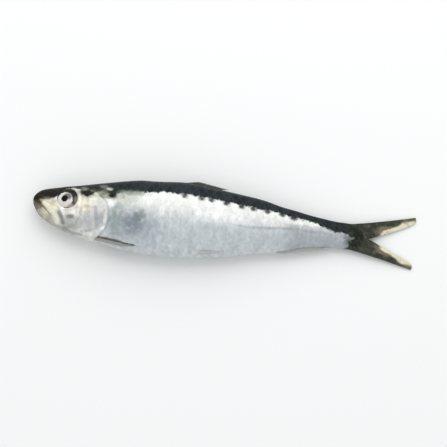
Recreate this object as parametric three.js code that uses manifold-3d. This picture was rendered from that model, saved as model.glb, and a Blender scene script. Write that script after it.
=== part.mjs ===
// A whole raw sardine, as it comes from the fishmonger: head on, fins folded, lying on its right
// flank with the left one up. One solid, because a fish is one piece.
//
// Millimetres, +Z up. The fish is first built along its body line: "at" is the distance behind the
// snout, "up" the height towards the back, "out" the distance from the fish's middle plane, with the
// left flank on the positive side. layDown() then puts it on its side, so that the snout points to
// -X, the back to +Y and the left flank to +Z. At the end the solid is moved so that the origin is
// the middle of its footprint, on the surface it lies on.

import * as THREE from "three";
import { mergeVertices } from "three/addons/utils/BufferGeometryUtils.js";
import Module from "manifold-3d";

const wasm = await Module();
wasm.setup();

// ---- Driving sizes ----

const BODY_LENGTH = 160; // snout to the end of the tail stalk
const SHEATH_LENGTH = 8; // skin that runs on over the root of the tail fin
const NOSE_ROUND = 5; // length over which the snout rounds off

// Sections of the body: heights of back and belly from the body line, and half the thickness.
const SECTIONS = [
  { name: "snout", at: 0, back: 3.9, belly: 5.4, half: 2.0 },
  { name: "jaw", at: 8, back: 6.2, belly: 10.6, half: 4.6 },
  { name: "eye", at: 16, back: 7.9, belly: 14.2, half: 6.2 },
  { name: "cheek", at: 25, back: 9.8, belly: 17.0, half: 7.5 },
  { name: "gill", at: 38, back: 12.6, belly: 19.2, half: 8.9 },
  { name: "nape", at: 48, back: 14.5, belly: 20.8, half: 9.4 },
  { name: "shoulder", at: 58, back: 15.7, belly: 21.8, half: 9.7 },
  { name: "deepest", at: 72, back: 16.6, belly: 21.7, half: 9.7 },
  { name: "vent", at: 96, back: 15.2, belly: 18.6, half: 8.6 },
  { name: "rump", at: 120, back: 11.8, belly: 13.6, half: 6.3 },
  { name: "narrowing", at: 140, back: 8.3, belly: 8.7, half: 3.9 },
  { name: "stalk", at: 153, back: 6.6, belly: 6.6, half: 2.7 },
  { name: "tail root", at: BODY_LENGTH, back: 6.8, belly: 6.6, half: 2.0 },
  { name: "sheath", at: BODY_LENGTH + SHEATH_LENGTH, back: 4.6, belly: 4.4, half: 0.5 },
];
const BACK_FULLNESS = 0.94; // under 1 gives a broad, round back
const BELLY_KEEL = 1.14; // over 1 gives a slight keel along the belly

// Height of the body line above the surface: the stiff trunk carries it, and the tail droops.
const BODY_LINE = [
  { at: 0, lift: 7.5 },
  { at: 38, lift: 8.0 },
  { at: 66, lift: 8.5 },
  { at: 96, lift: 7.5 },
  { at: 120, lift: 5.7 },
  { at: 141, lift: 4.3 },
  { at: 160, lift: 3.2 },
  { at: 194, lift: 0.4 },
];
const PRESS_SOFTNESS = 0.6; // how gently the flank turns into the flat that it rests on

// The free edge of the gill cover: furthest back at "up", and bowed forward above and below it. The
// cover rises from "from" on, is proud by "raised" from a little before its edge, and fades at "top".
const GILL = { edge: 39.1, up: -7, bow: 0.045, raised: 0.8, from: 21, full: 35, top: 8, fade: 3 };
const GILL_STEP = 0.6; // length over which the cover's edge falls to the flank
const BEND_FROM = 8; // the rings begin to bend towards the gill edge here,
const BEND_TO = 72; // and are upright again here

const MOUTH = { from: -1, to: 13.5, up: -0.4, slope: -0.58, gap: 0.5, endGap: 0.2, depth: 0.9 };
const MOUTH_STEPS = 12;
const CUT_CLEARANCE = 2; // how far a cut reaches out past the skin

// An eyeball is a flattened ball whose middle lies "sunk" below the skin.
const EYE = { at: 17.8, up: 1.2, radius: 6.0, bulge: 3.0, sunk: 1.8 };
const EYE_FACETS = { around: 24, over: 12 };

const RINGS = { head: 26, trunk: 34 }; // in front of the gill edge and behind it
const HEAD_CROWDING = 1.35; // over 1 sets the rings closer together near the snout
const TURNS = 44; // points round each ring

// The tail's root, and the trailing margin of a lobe, from the notch to the tip and round it.
const TAIL = { root: 157, spread: 6.1, upper: 0.96, lower: 0.87 };
const TAIL_MARGIN = [
  [170, 0],
  [177, 3.3],
  [184.5, 6.9],
  [190.8, 10.2],
  [193, 12.2],
  [192.7, 14.8],
];
const TAIL_FIN = { rays: 20, steps: 8, rootHalf: 0.7, tipHalf: 0.4 };

// The fins of the back and the belly's ridge. Their rays start between "from" and "to", sweep back,
// and end this far outside the body.
const DORSAL = { from: 67, to: 87, sweeps: [15, 10], heights: [1.9, 0.9] };
const ANAL = { from: 118, to: 143, sweeps: [10, 8], heights: [1.2, 1.2] };
const RIDGE_FIN = { rays: 10, steps: 3, rootHalf: 0.7, tipHalf: 0.4 };
const RIDGE_ROOT_DEPTH = 1.1; // how deep the rays start under the skin

// The paired fins lie against the flanks: corners as [distance behind the snout, height].
const PECTORAL = { root: [32, -16.3], rootEnd: [31.5, -17.8], tip: [55, -19.0], tipEnd: [48, -20.0] };
const PELVIC = { root: [83, -18.0], rootEnd: [84, -19.6], tip: [97, -16.4], tipEnd: [91, -18.4] };
const PAIRED_FIN = { rays: 4, steps: 8, rootHalf: 0.4, tipHalf: 0.4 };
const PAIRED_STAND = { root: -0.2, tip: 0.1 }; // height of the fin's middle over the skin

// ---- Small helpers ----

const { abs, cos, floor, max, min, PI, pow, sign, sin, sqrt } = Math;
const mix = (a, b, share) => a + (b - a) * share;
const mixPoint = (p, q, share) => [mix(p[0], q[0], share), mix(p[1], q[1], share)];
const ease = (from, to, x) => THREE.MathUtils.smoothstep(x, from, to);

// A curve through the rows' values that never overshoots between two of them.
function curveThrough(rows, key) {
  const x = rows.map((row) => row.at);
  const y = rows.map((row) => row[key]);
  const rise = x.slice(1).map((next, i) => (y[i + 1] - y[i]) / (next - x[i]));
  const slope = x.map((_, i) => {
    if (i === 0) return rise[0];
    if (i === x.length - 1) return rise[i - 1];
    const [before, after] = [rise[i - 1], rise[i]];
    return before * after <= 0 ? 0 : (2 * before * after) / (before + after);
  });
  return (at) => {
    const place = min(max(at, x[0]), x[x.length - 1]);
    let i = 0;
    while (i < x.length - 2 && place > x[i + 1]) i += 1;
    const span = x[i + 1] - x[i];
    const t = (place - x[i]) / span;
    const bend = t * t * (3 - 2 * t);
    const start = t * (1 - t) * (1 - t);
    const end = t * t * (t - 1);
    return mix(y[i], y[i + 1], bend) + span * (slope[i] * start + slope[i + 1] * end);
  };
}

const backAt = curveThrough(SECTIONS, "back");
const bellyAt = curveThrough(SECTIONS, "belly");
const halfAt = curveThrough(SECTIONS, "half");
const liftAt = curveThrough(BODY_LINE, "lift");

const noseAt = (at) => (at >= NOSE_ROUND ? 1 : sqrt(max(0, 1 - (1 - at / NOSE_ROUND) ** 2)));

// ---- The body's surface ----

// Height of the back, or depth of the belly, for points above or below the body line.
const rimAt = (at, up) => (up >= 0 ? backAt(at) : bellyAt(at)) * noseAt(at);

// Thickness from the middle plane to the skin, without the gill cover.
function flankAt(at, up) {
  const share = min(abs(up) / rimAt(at, up), 1);
  const fullness = up >= 0 ? BACK_FULLNESS : BELLY_KEEL;
  return halfAt(at) * noseAt(at) * pow(sqrt(1 - share * share), fullness);
}

// How far the gill cover stands proud of the smooth body. place is that of the ring.
function gillCoverAt(place, up) {
  if (place > GILL.edge) return 0;
  const rising = ease(GILL.from, GILL.full, place);
  const fading = ease(GILL.top - GILL.fade, GILL.top, up);
  return GILL.raised * rising * (1 - fading);
}

// The skin at one turn of the ring at place: turn 0 is on the back, a quarter turn on the left
// flank. Rings near the gill edge are bent so that one of them runs along it.
function skinPoint(place, turn) {
  const [across, outward] = [cos(turn), sin(turn)];
  const bend = ease(BEND_FROM, GILL.edge, place) * (1 - ease(GILL.edge, BEND_TO, place));
  const at = place - bend * GILL.bow * (across * rimAt(place, across) - GILL.up) ** 2;
  const up = across * rimAt(at, across);
  const cover = gillCoverAt(place, up) * abs(outward);
  return layDown(at, up, sign(outward) * (flankAt(at, up) + cover));
}

// Lays a point of the standing fish on its side, and presses the right flank flat where it rests.
function layDown(at, up, out) {
  const z = liftAt(at) + out;
  if (z > PRESS_SOFTNESS) return [at, up, z];
  if (z < -PRESS_SOFTNESS) return [at, up, 0];
  return [at, up, (z + PRESS_SOFTNESS) ** 2 / (4 * PRESS_SOFTNESS)];
}

// ---- Closed meshes and solids ----

function solidFromGeometry(geometry) {
  const bare = geometry.clone();
  bare.deleteAttribute("normal");
  bare.deleteAttribute("uv");
  const merged = mergeVertices(bare);
  return new wasm.Manifold(
    new wasm.Mesh({
      numProp: 3,
      vertProperties: new Float32Array(merged.attributes.position.array),
      triVerts: new Uint32Array(merged.index.array),
    }),
  );
}

function solidFromFaces(points, faces) {
  const geometry = new THREE.BufferGeometry();
  geometry.setAttribute("position", new THREE.Float32BufferAttribute(points.flat(), 3));
  geometry.setIndex(faces.flat());
  return solidFromGeometry(geometry);
}

// Two triangles for each square between neighbouring rows of points.
function bridge(faces, first, second, count, closed) {
  const squares = closed ? count : count - 1;
  for (let i = 0; i < squares; i += 1) {
    const next = (i + 1) % count;
    faces.push([first + i, first + next, second + next]);
    faces.push([first + i, second + next, second + i]);
  }
}

// A solid through rings of points, closed at either end by a fan of triangles round one point.
function loftSolid(start, rings, end) {
  const count = rings[0].length;
  const points = [start, ...rings.flat(), end];
  const last = 1 + (rings.length - 1) * count;
  const faces = [];
  for (let i = 0; i < count; i += 1) {
    const next = (i + 1) % count;
    faces.push([0, 1 + next, 1 + i]);
    faces.push([points.length - 1, last + i, last + next]);
  }
  for (let ring = 0; ring < rings.length - 1; ring += 1) {
    bridge(faces, 1 + ring * count, 1 + (ring + 1) * count, count, true);
  }
  return solidFromFaces(points, faces);
}

// A thin fin spread between its root and its margin. ray(across) gives the [at, up] of a ray's root
// and tip, in clockwise order seen from the left flank; level(at, up, along) tells how far the fin's
// middle lies from the fish's middle plane, where along runs from 0 at the root to 1 at the tip.
function finSolid({ rays, steps, rootHalf, tipHalf }, level, ray) {
  const points = [];
  for (const side of [1, -1]) {
    for (let i = 0; i <= rays; i += 1) {
      const { root, tip } = ray(i / rays);
      for (let j = 0; j <= steps; j += 1) {
        const along = j / steps;
        const [at, up] = mixPoint(root, tip, along);
        const half = mix(rootHalf, tipHalf, along);
        const middle = max(liftAt(at) + level(at, up, along), half);
        points.push([at, up, middle + side * half]);
      }
    }
  }
  const row = steps + 1;
  const sheet = row * (rays + 1);
  const faces = [];
  for (let i = 0; i < rays; i += 1) {
    bridge(faces, (i + 1) * row, i * row, row, false);
    bridge(faces, sheet + i * row, sheet + (i + 1) * row, row, false);
  }
  const rim = [];
  for (let i = 0; i < rays; i += 1) rim.push(i * row);
  for (let j = 0; j < steps; j += 1) rim.push(rays * row + j);
  for (let i = rays; i > 0; i -= 1) rim.push(i * row + steps);
  for (let j = steps; j > 0; j -= 1) rim.push(j);
  rim.forEach((here, i) => {
    const next = rim[(i + 1) % rim.length];
    faces.push([here, sheet + here, sheet + next]);
    faces.push([here, sheet + next, next]);
  });
  return solidFromFaces(points, faces);
}

// ---- Pieces of the fish ----

function bodySolid() {
  const end = BODY_LENGTH + SHEATH_LENGTH;
  const places = [];
  for (let i = 1; i <= RINGS.head; i += 1) {
    places.push(GILL.edge * (i / RINGS.head) ** HEAD_CROWDING);
  }
  for (let i = 0; i <= RINGS.trunk; i += 1) {
    places.push(mix(GILL.edge + GILL_STEP, end, i / RINGS.trunk));
  }
  const turns = Array.from({ length: TURNS }, (_, i) => (2 * PI * i) / TURNS);
  const rings = places.map((place) => turns.map((turn) => skinPoint(place, turn)));
  return loftSolid(layDown(0, 0, 0), rings, layDown(end, 0, 0));
}

// What the slit of the mouth takes away, on one flank, from the tip of the snout down and back.
// side is 1 on the left flank and -1 on the right, here and below.
function mouthCut(side) {
  const rings = [];
  for (let i = 0; i <= MOUTH_STEPS; i += 1) {
    const share = i / MOUTH_STEPS;
    const at = mix(MOUTH.from, MOUTH.to, share);
    const up = MOUTH.up + MOUTH.slope * at;
    const half = mix(MOUTH.gap, MOUTH.endGap, share) / 2;
    const inner = liftAt(at) + side * (flankAt(at, up) - MOUTH.depth);
    const outer = liftAt(at) + side * (flankAt(at, up) + CUT_CLEARANCE);
    const corners = [
      [at, up + half, inner],
      [at, up + half, outer],
      [at, up - half, outer],
      [at, up - half, inner],
    ];
    rings.push(side > 0 ? corners : corners.reverse());
  }
  const centreOf = (ring) => [0, 1, 2].map((axis) => mix(ring[0][axis], ring[2][axis], 0.5));
  return loftSolid(centreOf(rings[0]), rings, centreOf(rings[MOUTH_STEPS]));
}

// The eyeball stands a little proud of the head and faces the way the head's side does.
function eyeSolid(side) {
  const depth = flankAt(EYE.at, EYE.up);
  const slopeAt = flankAt(EYE.at + 1, EYE.up) - depth;
  const slopeUp = flankAt(EYE.at, EYE.up + 1) - depth;
  const facing = new THREE.Vector3(-slopeAt, -slopeUp, side).normalize();
  const pole = new THREE.Vector3(0, 1, 0);
  const centre = new THREE.Vector3(EYE.at, EYE.up, liftAt(EYE.at) + side * depth);
  centre.addScaledVector(facing, -EYE.sunk);
  const ball = new THREE.SphereGeometry(1, EYE_FACETS.around, EYE_FACETS.over);
  ball.scale(EYE.radius, EYE.bulge, EYE.radius);
  ball.applyQuaternion(new THREE.Quaternion().setFromUnitVectors(pole, facing));
  ball.translate(centre.x, centre.y, centre.z);
  return solidFromGeometry(ball);
}

// Deeply forked, its lobes of nearly equal length.
function tailSolid() {
  const spans = TAIL_MARGIN.length - 1;
  const ray = (across) => {
    const lobe = 1 - 2 * across; // 1 on the upper edge, -1 on the lower
    const place = abs(lobe) * spans;
    const span = min(floor(place), spans - 1);
    const [tipAt, tipUp] = mixPoint(TAIL_MARGIN[span], TAIL_MARGIN[span + 1], place - span);
    const stretch = lobe > 0 ? TAIL.upper : -TAIL.lower;
    return { root: [TAIL.root, TAIL.spread * lobe], tip: [tipAt, tipUp * stretch] };
  };
  return finSolid(TAIL_FIN, () => 0, ray);
}

// A low fin folded along the ridge of the back, or along the underside. side is 1 for the back.
function ridgeSolid({ from, to, sweeps, heights }, side) {
  const ray = (across) => {
    const share = side > 0 ? across : 1 - across;
    const root = mix(from, to, share);
    const tip = root + mix(sweeps[0], sweeps[1], share);
    const rootUp = side * (rimAt(root, side) - RIDGE_ROOT_DEPTH);
    const tipUp = side * (rimAt(tip, side) + mix(heights[0], heights[1], share));
    return { root: [root, rootUp], tip: [tip, tipUp] };
  };
  return finSolid(RIDGE_FIN, () => 0, ray);
}

// A paired fin that lies against the flank.
function pairedSolid(shape, side) {
  const level = (at, up, along) =>
    side * (flankAt(at, up) + mix(PAIRED_STAND.root, PAIRED_STAND.tip, along));
  const ray = (across) => ({
    root: mixPoint(shape.root, shape.rootEnd, across),
    tip: mixPoint(shape.tip, shape.tipEnd, across),
  });
  return finSolid(PAIRED_FIN, level, ray);
}

// ---- The whole fish ----

function fishGeometry() {
  const pieces = [tailSolid(), ridgeSolid(DORSAL, 1), ridgeSolid(ANAL, -1)];
  for (const side of [1, -1]) {
    pieces.push(eyeSolid(side), pairedSolid(PECTORAL, side), pairedSolid(PELVIC, side));
  }
  const joined = pieces.reduce((whole, piece) => whole.add(piece), bodySolid());
  const fish = joined.subtract(mouthCut(1)).subtract(mouthCut(-1));
  const mesh = fish.getMesh();
  const geometry = new THREE.BufferGeometry();
  geometry.setAttribute("position", new THREE.BufferAttribute(mesh.vertProperties, 3));
  geometry.setIndex(new THREE.BufferAttribute(mesh.triVerts, 1));
  geometry.computeBoundingBox();
  const middle = geometry.boundingBox.getCenter(new THREE.Vector3());
  geometry.translate(-middle.x, -middle.y, -geometry.boundingBox.min.z);
  geometry.computeVertexNormals();
  return geometry;
}

const silverSkin = new THREE.MeshStandardMaterial({
  color: 0xb9c2c9,
  roughness: 0.35,
  metalness: 0.6,
});

const fish = new THREE.Mesh(fishGeometry(), silverSkin);
fish.name = "fish";

const part = new THREE.Group();
part.add(fish);

export default part;
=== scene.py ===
# Builds a whole raw sardine that lies on its right flank: skin with its gill cover, mouth and scale
# pattern, both eyes, the forked tail fin, the folded fins of back and underside, and the paired fins.
#
# Shapes are worked out in millimetres along the fish's body line: "at" is the distance behind the
# snout, "up" the height towards the back, and "out" the distance from the middle plane, positive on
# the left flank. lay_down() turns them into the row frame, where the snout points to -X, the back to
# +Y and the left flank to +Z, in metres.

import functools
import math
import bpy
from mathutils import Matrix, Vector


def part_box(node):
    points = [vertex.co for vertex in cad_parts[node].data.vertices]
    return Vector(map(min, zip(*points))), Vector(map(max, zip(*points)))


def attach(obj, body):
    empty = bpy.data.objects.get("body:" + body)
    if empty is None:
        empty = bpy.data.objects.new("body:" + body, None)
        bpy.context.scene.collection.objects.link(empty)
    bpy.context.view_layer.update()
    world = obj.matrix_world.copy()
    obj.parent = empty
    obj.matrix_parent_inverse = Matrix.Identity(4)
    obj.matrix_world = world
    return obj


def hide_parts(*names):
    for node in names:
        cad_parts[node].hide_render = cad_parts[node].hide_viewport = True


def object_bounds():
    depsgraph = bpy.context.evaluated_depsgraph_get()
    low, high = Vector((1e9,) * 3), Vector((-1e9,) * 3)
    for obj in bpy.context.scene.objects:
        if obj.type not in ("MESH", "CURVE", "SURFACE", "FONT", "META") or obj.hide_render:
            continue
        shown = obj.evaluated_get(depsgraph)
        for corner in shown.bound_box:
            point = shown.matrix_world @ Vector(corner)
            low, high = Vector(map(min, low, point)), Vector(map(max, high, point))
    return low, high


bl_info = {
    "name": "Raw Fish",
    "version": (1, 0, 0),
    "blender": (4, 5, 0),
    "location": "View3D > Sidebar > Raw Fish",
    "description": "Builds a whole raw sardine lying on its side",
    "category": "Object",
}

import bpy
import numpy as np
from bpy.props import FloatProperty, FloatVectorProperty, IntProperty, PointerProperty
from mathutils import Vector

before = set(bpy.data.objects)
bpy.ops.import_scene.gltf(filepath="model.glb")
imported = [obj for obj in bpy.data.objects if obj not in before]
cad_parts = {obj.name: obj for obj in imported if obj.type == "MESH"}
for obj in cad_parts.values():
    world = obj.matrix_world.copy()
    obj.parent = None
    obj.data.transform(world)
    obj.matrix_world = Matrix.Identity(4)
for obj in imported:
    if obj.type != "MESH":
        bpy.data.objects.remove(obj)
CAD_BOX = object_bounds()
FISH_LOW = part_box("fish")[0]

MM = 0.001
BODY = "root"
NODE = "fish"

# ---- The form, in millimetres ----

BODY_LENGTH = 160  # snout to the end of the tail stalk
SHEATH_LENGTH = 8  # skin that runs on over the root of the tail fin
NOSE_ROUND = 5  # length over which the snout rounds off

# Distance behind the snout, height of the back, depth of the belly, half the thickness.
SECTIONS = [
    (0, 3.9, 5.4, 2.0),
    (8, 6.2, 10.6, 4.6),
    (16, 7.9, 14.2, 6.2),
    (25, 9.8, 17.0, 7.5),
    (38, 12.6, 19.2, 8.9),
    (48, 14.5, 20.8, 9.4),
    (58, 15.7, 21.8, 9.7),
    (72, 16.6, 21.7, 9.7),
    (96, 15.2, 18.6, 8.6),
    (120, 11.8, 13.6, 6.3),
    (140, 8.3, 8.7, 3.9),
    (153, 6.6, 6.6, 2.7),
    (BODY_LENGTH, 6.8, 6.6, 2.0),
    (BODY_LENGTH + SHEATH_LENGTH, 4.6, 4.4, 0.15),
]
BACK_FULLNESS = 0.94  # under 1 gives a broad, round back
BELLY_KEEL = 1.14  # over 1 gives a slight keel along the belly
# Distance behind the snout, and height of the body line over the surface.
BODY_LINE = [
    (0, 7.5), (38, 8.0), (66, 8.5), (96, 7.5), (120, 5.7), (141, 4.3), (160, 3.2), (194, 0.4),
]
PRESS_SOFTNESS = 0.6  # how gently the flank turns into the flat that it rests on

GILL_EDGE, GILL_UP, GILL_BOW = 39.1, -7, 0.045  # where the gill cover ends, and how it bows
# Height of the raised cover, where it begins to rise and is full, its top, and its fading there.
GILL_RAISED, GILL_FROM, GILL_FULL, GILL_TOP, GILL_FADE = 0.8, 21, 35, 8, 3
GILL_STEP = 0.45  # length over which the cover's edge falls to the flank
BEND_FROM, BEND_TO = 8, 72  # between these the rings of skin bend with the gill edge

MOUTH_UP, MOUTH_SLOPE, MOUTH_END = -0.4, -0.58, 13.5  # the slit's height at the snout, slope and end
EYE_AT, EYE_UP, EYE_RADIUS = 17.8, 1.2, 5.6
EYE_SHOWN, EYE_PROUD = 4.9, 0.9  # radius at which the eye dives under the skin, and its height
EYE_DEPTH = 3  # how deep the eyeball reaches under the skin
EYE_FULLNESS = 2.4  # over 2 gives an eyeball that is flatter in the middle
PUPIL_FROM_EYE = (-1.3, -0.6)  # the pupil's middle, towards the tail and the back

# Distance behind the snout, and height at which the dark back gives way to silver.
BACK_EDGE = [
    (0, -0.6), (5, -0.1), (8.5, -0.1), (11, 1.0), (13, 3.2), (15, 5.4), (17.5, 6.5), (22, 6.9),
    (25, 5.6), (27.5, 2.9), (30.5, 4.2), (33, 5.8), (36.5, 5.4), (38.8, 4.4), (40.5, 3.7),
    (42.5, 5.4), (47, 6.6), (57, 7.7), (68, 8.9), (80, 8.6), (95, 7.9), (113, 6.6), (122, 6.2),
    (131, 5.0), (140, 4.1), (148, 1.6), (160, -0.2),
]
SCALE_ROWS = 13  # rows of scales between the back and the belly, half of each under the next
SMALLEST_SCALE = 0.35  # scales at the thin ends, as a share of the largest
SPOTS = (77, 137, 6.8)  # first, end and spacing of the dark dashes under the back's edge
SPOT_RADII, SPOT_STRAY = (1.9, 1.5), (1.2, 0.3)  # half sizes of a dash, and how far it strays

# Rings of skin in each stretch of the body, and points on each ring.
HEAD_RINGS, EDGE_RINGS, TRUNK_RINGS, TURNS = 200, 12, 180, 244
HEAD_CROWDING = 1.35  # over 1 sets the rings closer together near the snout
EDGE_WIDTH, EDGE_CROWDING = 2.4, 1.6  # stretch behind the gill edge that has its own close rings
EYE_RINGS, EYE_SPOKES = 60, 96

TAIL_ROOT, TAIL_SPREAD = 157, 6.1  # where the rays of the tail begin, and half their height there
TAIL_FLARE = 1.2  # over 1 lets the rays spread late
TAIL_STRETCH = (0.96, 0.87)  # heights of the upper and the lower lobe, as shares of the margin's
# The margin of a lobe, from the notch of the fork to the outer tip.
TAIL_MARGIN = [(170, 0), (177, 3.3), (184.5, 6.9), (190.8, 10.2), (193, 12.2), (192.7, 14.8)]
# Folded fins: ends of the root, how far the first and the last ray sweep back, and their heights.
DORSAL = {"root": (67, 87), "sweeps": (15, 10), "heights": (1.9, 0.9)}
ANAL = {"root": (118, 143), "sweeps": (10, 8), "heights": (1.2, 1.2)}
RIDGE_ROOT_DEPTH = 1.1  # how deep those fins root in the skin
# Paired fins: upper and lower end of the root, then of the margin.
PECTORAL = [(32, -16.0), (31.5, -17.5), (55, -18.7), (48, -19.8)]
PELVIC = [(83, -18.0), (84, -19.6), (97, -16.4), (91, -18.4)]
RAY_POINTS = 6  # mesh points across each soft ray
RAY_RISE, RAY_FORK = (0.15, 0.45), (0.55, 0.8)  # shares of its length where a ray rises and forks
PAIRED_STAND = (-0.8, 0.1)  # a paired fin's height over the flank at its root and past PAIRED_RISE
PAIRED_RISE = 0.3  # share of its length over which it comes out of the skin
PAIRED_CROWN = 1.2  # how far the middle of a paired fin's margin stands out

FLOOR = 4.0  # half a side of the floor, in metres
LENS = 135  # focal length of the camera


def curve_through(points):
    """A smooth curve through the points that never overshoots between two of them."""
    x, y = np.array(points, float).T
    rise = np.diff(y) / np.diff(x)
    before, after = rise[:-1], rise[1:]
    turning = before * after <= 0
    total = np.where(turning, 1, before + after)
    inner = np.where(turning, 0, 2 * before * after / total)
    slope = np.concatenate([rise[:1], inner, rise[-1:]])

    def curve(place):
        place = np.clip(place, x[0], x[-1])
        i = np.clip(np.searchsorted(x, place) - 1, 0, len(x) - 2)
        span = x[i + 1] - x[i]
        t = (place - x[i]) / span
        bend = t * t * (3 - 2 * t)
        lean = slope[i] * t * (1 - t) ** 2 + slope[i + 1] * t * t * (t - 1)
        return y[i] + (y[i + 1] - y[i]) * bend + span * lean

    return curve


def ease(start, end, x):
    """0 before start, 1 after end, and a smooth rise between them."""
    t = np.clip((x - start) / (end - start), 0, 1)
    return t * t * (3 - 2 * t)


def fade(start, end, x):
    """1 before start, 0 after end, and a smooth fall between them."""
    return 1 - ease(start, end, x)


def between(rise, fall, x):
    """Rises from 0 to 1 over the first stretch, and falls back to 0 over the second."""
    return ease(*rise, x) * fade(*fall, x)


def mix(a, b, share):
    """a where the share is 0, b where it is 1."""
    return a + (b - a) * share


def hump(distance, width):
    """1 at no distance, falling off smoothly to nothing past about twice the width."""
    return np.exp(-((distance / width) ** 2))


def patch(at, up, centre, radii):
    """1 in the middle of an oval patch, fading to nothing past its radii."""
    return hump(np.hypot((at - centre[0]) / radii[0], (up - centre[1]) / radii[1]), 1)


back_at = curve_through([(at, back) for at, back, belly, half in SECTIONS])
belly_at = curve_through([(at, belly) for at, back, belly, half in SECTIONS])
half_at = curve_through([(at, half) for at, back, belly, half in SECTIONS])
lift_at = curve_through(BODY_LINE)
back_edge_at = curve_through(BACK_EDGE)

DEEPEST_BELLY = float(belly_at(np.linspace(0, BODY_LENGTH, 641)).max())
BODY_LINE_Y = FISH_LOW.y / MM + DEEPEST_BELLY
SNOUT_X = FISH_LOW.x / MM


def nose_at(at):
    """Share of its full section that the body has where the snout rounds off."""
    return np.sqrt(np.clip(1 - np.clip(1 - at / NOSE_ROUND, 0, 1) ** 2, 0, 1))


def rim_at(at, up):
    """Height of the back, or depth of the belly, for points above or below the body line."""
    return np.where(up >= 0, back_at(at), belly_at(at)) * nose_at(at)


def flank_at(at, up):
    """Thickness from the middle plane to the skin, without the gill cover."""
    share = np.clip(np.abs(up) / np.maximum(rim_at(at, up), 1e-6), 0, 1)
    fullness = np.where(up >= 0, BACK_FULLNESS, BELLY_KEEL)
    return half_at(at) * nose_at(at) * np.sqrt(1 - share * share) ** fullness


def lay_down(at, up, out):
    """Points of the standing fish laid on its side, with the right flank pressed flat, in metres."""
    z = lift_at(at) + out
    soft = (z + PRESS_SOFTNESS) ** 2 / (4 * PRESS_SOFTNESS)
    z = np.where(z > PRESS_SOFTNESS, z, np.where(z < -PRESS_SOFTNESS, 0, soft))
    return np.stack([at + SNOUT_X, up + BODY_LINE_Y, z], axis=-1) * MM


# ---- Relief of the skin ----

PREOPERCLE = [
    (24.2, 4.6), (25.2, 1.0), (25.6, -3), (25.0, -7.5), (23.2, -11.2), (19.5, -13.4), (15.0, -12.6),
]
SUBOPERCLE = [(37.8, -10.9), (34.5, -12.2), (30.5, -14.0), (26.5, -14.6)]
MAXILLA_START, MAXILLA_END, MAXILLA_RADII = (1.2, 0.5), (13.5, -7.4), (0.4, 2.4)
NOSTRILS = [(3.6, -1.5), (4.5, -2.2)]
HIDDEN = 3  # added to the distance from a line of the mouth where another form covers it
THROAT_FOLDS = (1.4, 2.5, 3.6)  # distances of the gill membrane's folds from the belly's edge
THROAT = ((15, 19), (30, 34))  # stretches over which those folds begin and end
SCUTE_PITCH = 4.1  # length of each hard scute along the belly's keel
KEEL = ((38, 50), (112, 120))  # stretches over which the scutes begin and end
KEEL_WIDTH = 0.1  # how far they reach round the body, in radians
STRIAE_FROM = (29.0, 6.5)  # where the rays on the gill cover fan out from
STRIAE_TURN = 5  # degrees from one of those rays to the next
STRIAE_REACH = ((7, 11), (17, 20))  # distances from there over which they begin and end
STRIAE_FAN = ((-14, -6), (28, 40))  # degrees over which the fan begins and ends

# Depth and width of the grooves of the head.
MOUTH_SLIT, PLATE_SEAM, GILL_SLIT = (0.45, 0.42), (0.12, 0.6), (0.2, 0.5)
NOSTRIL, THROAT_FOLD, EYE_SOCKET = (0.3, 0.4), (0.13, 0.32), (0.3, 0.45)
# Heights of the rays of the gill cover, the plate of the upper jaw, the lid round the eye and the
# scutes, and depths of the lower jaw inside the upper one and of the hollow in the cheek.
STRIAE_HEIGHT, PLATE_HEIGHT, LID_HEIGHT, SCUTE_HEIGHT = 0.05, 0.24, 0.22, 0.22
JAW_INSET, CHEEK_DEPTH = 0.25, 0.3
LOWER_JAW = ((-3.0, -0.6), (-0.3, 0.3))  # heights over the mouth's line between which it lies
CHEEK_HOLLOW = ((20.5, -8.5), (4.0, 3.2))  # middle and half sizes

SLACK_LENGTHS = (34, 26, 19, 14, 11)  # of the long, shallow waves of slack flesh
SLACK_HEIGHT = 0.0035  # of a wave, as a share of its length
SLACK_FROM = (30, 60)  # stretch over which the waves begin


def bar_distance(at, up, start, end, radii):
    """Distance outside a rounded bar whose radius changes from its start to its end."""
    way = (end[0] - start[0], end[1] - start[1])
    along = (at - start[0]) * way[0] + (up - start[1]) * way[1]
    share = np.clip(along / (way[0] ** 2 + way[1] ** 2), 0, 1)
    near = np.hypot(at - start[0] - way[0] * share, up - start[1] - way[1] * share)
    return near - mix(radii[0], radii[1], share)


def chain_distance(at, up, points):
    """Distance from a chain of straight lines."""
    spans = zip(points[:-1], points[1:])
    return np.minimum.reduce([bar_distance(at, up, a, b, (0, 0)) for a, b in spans])


def over_mouth(at, up):
    """Height above the line of the mouth."""
    return (up - MOUTH_UP - MOUTH_SLOPE * at) / math.hypot(1, MOUTH_SLOPE)


def mouth_distance(at, up):
    """Distance from the slit of the mouth."""
    end = (MOUTH_END, MOUTH_UP + MOUTH_SLOPE * MOUTH_END)
    return bar_distance(at, up, (-1, MOUTH_UP - MOUTH_SLOPE), end, (0, 0))


def seam_distance(at, up):
    """Distance from the seams between the bony plates of the head."""
    return np.minimum(chain_distance(at, up, PREOPERCLE), chain_distance(at, up, SUBOPERCLE))


def nostril_distance(at, up):
    """Distance from the middle of the nearer nostril."""
    return np.minimum.reduce([np.hypot(at - hole[0], up - hole[1]) for hole in NOSTRILS])


def eye_distance(at, up):
    """Distance from the middle of the eye."""
    return np.hypot(at - EYE_AT, up - EYE_UP)


def belly_distance(at, up):
    """Height above the belly's edge."""
    return up + rim_at(at, np.full_like(at, -1.0))


def low_on_cover(up):
    """1 where the gill cover's edge stands free, 0 above it."""
    return fade(GILL_TOP - GILL_FADE, GILL_TOP, up)


def plate_distance(at, up):
    """Distance outside the bony plate of the upper jaw."""
    return bar_distance(at, up, MAXILLA_START, MAXILLA_END, MAXILLA_RADII)


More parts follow.
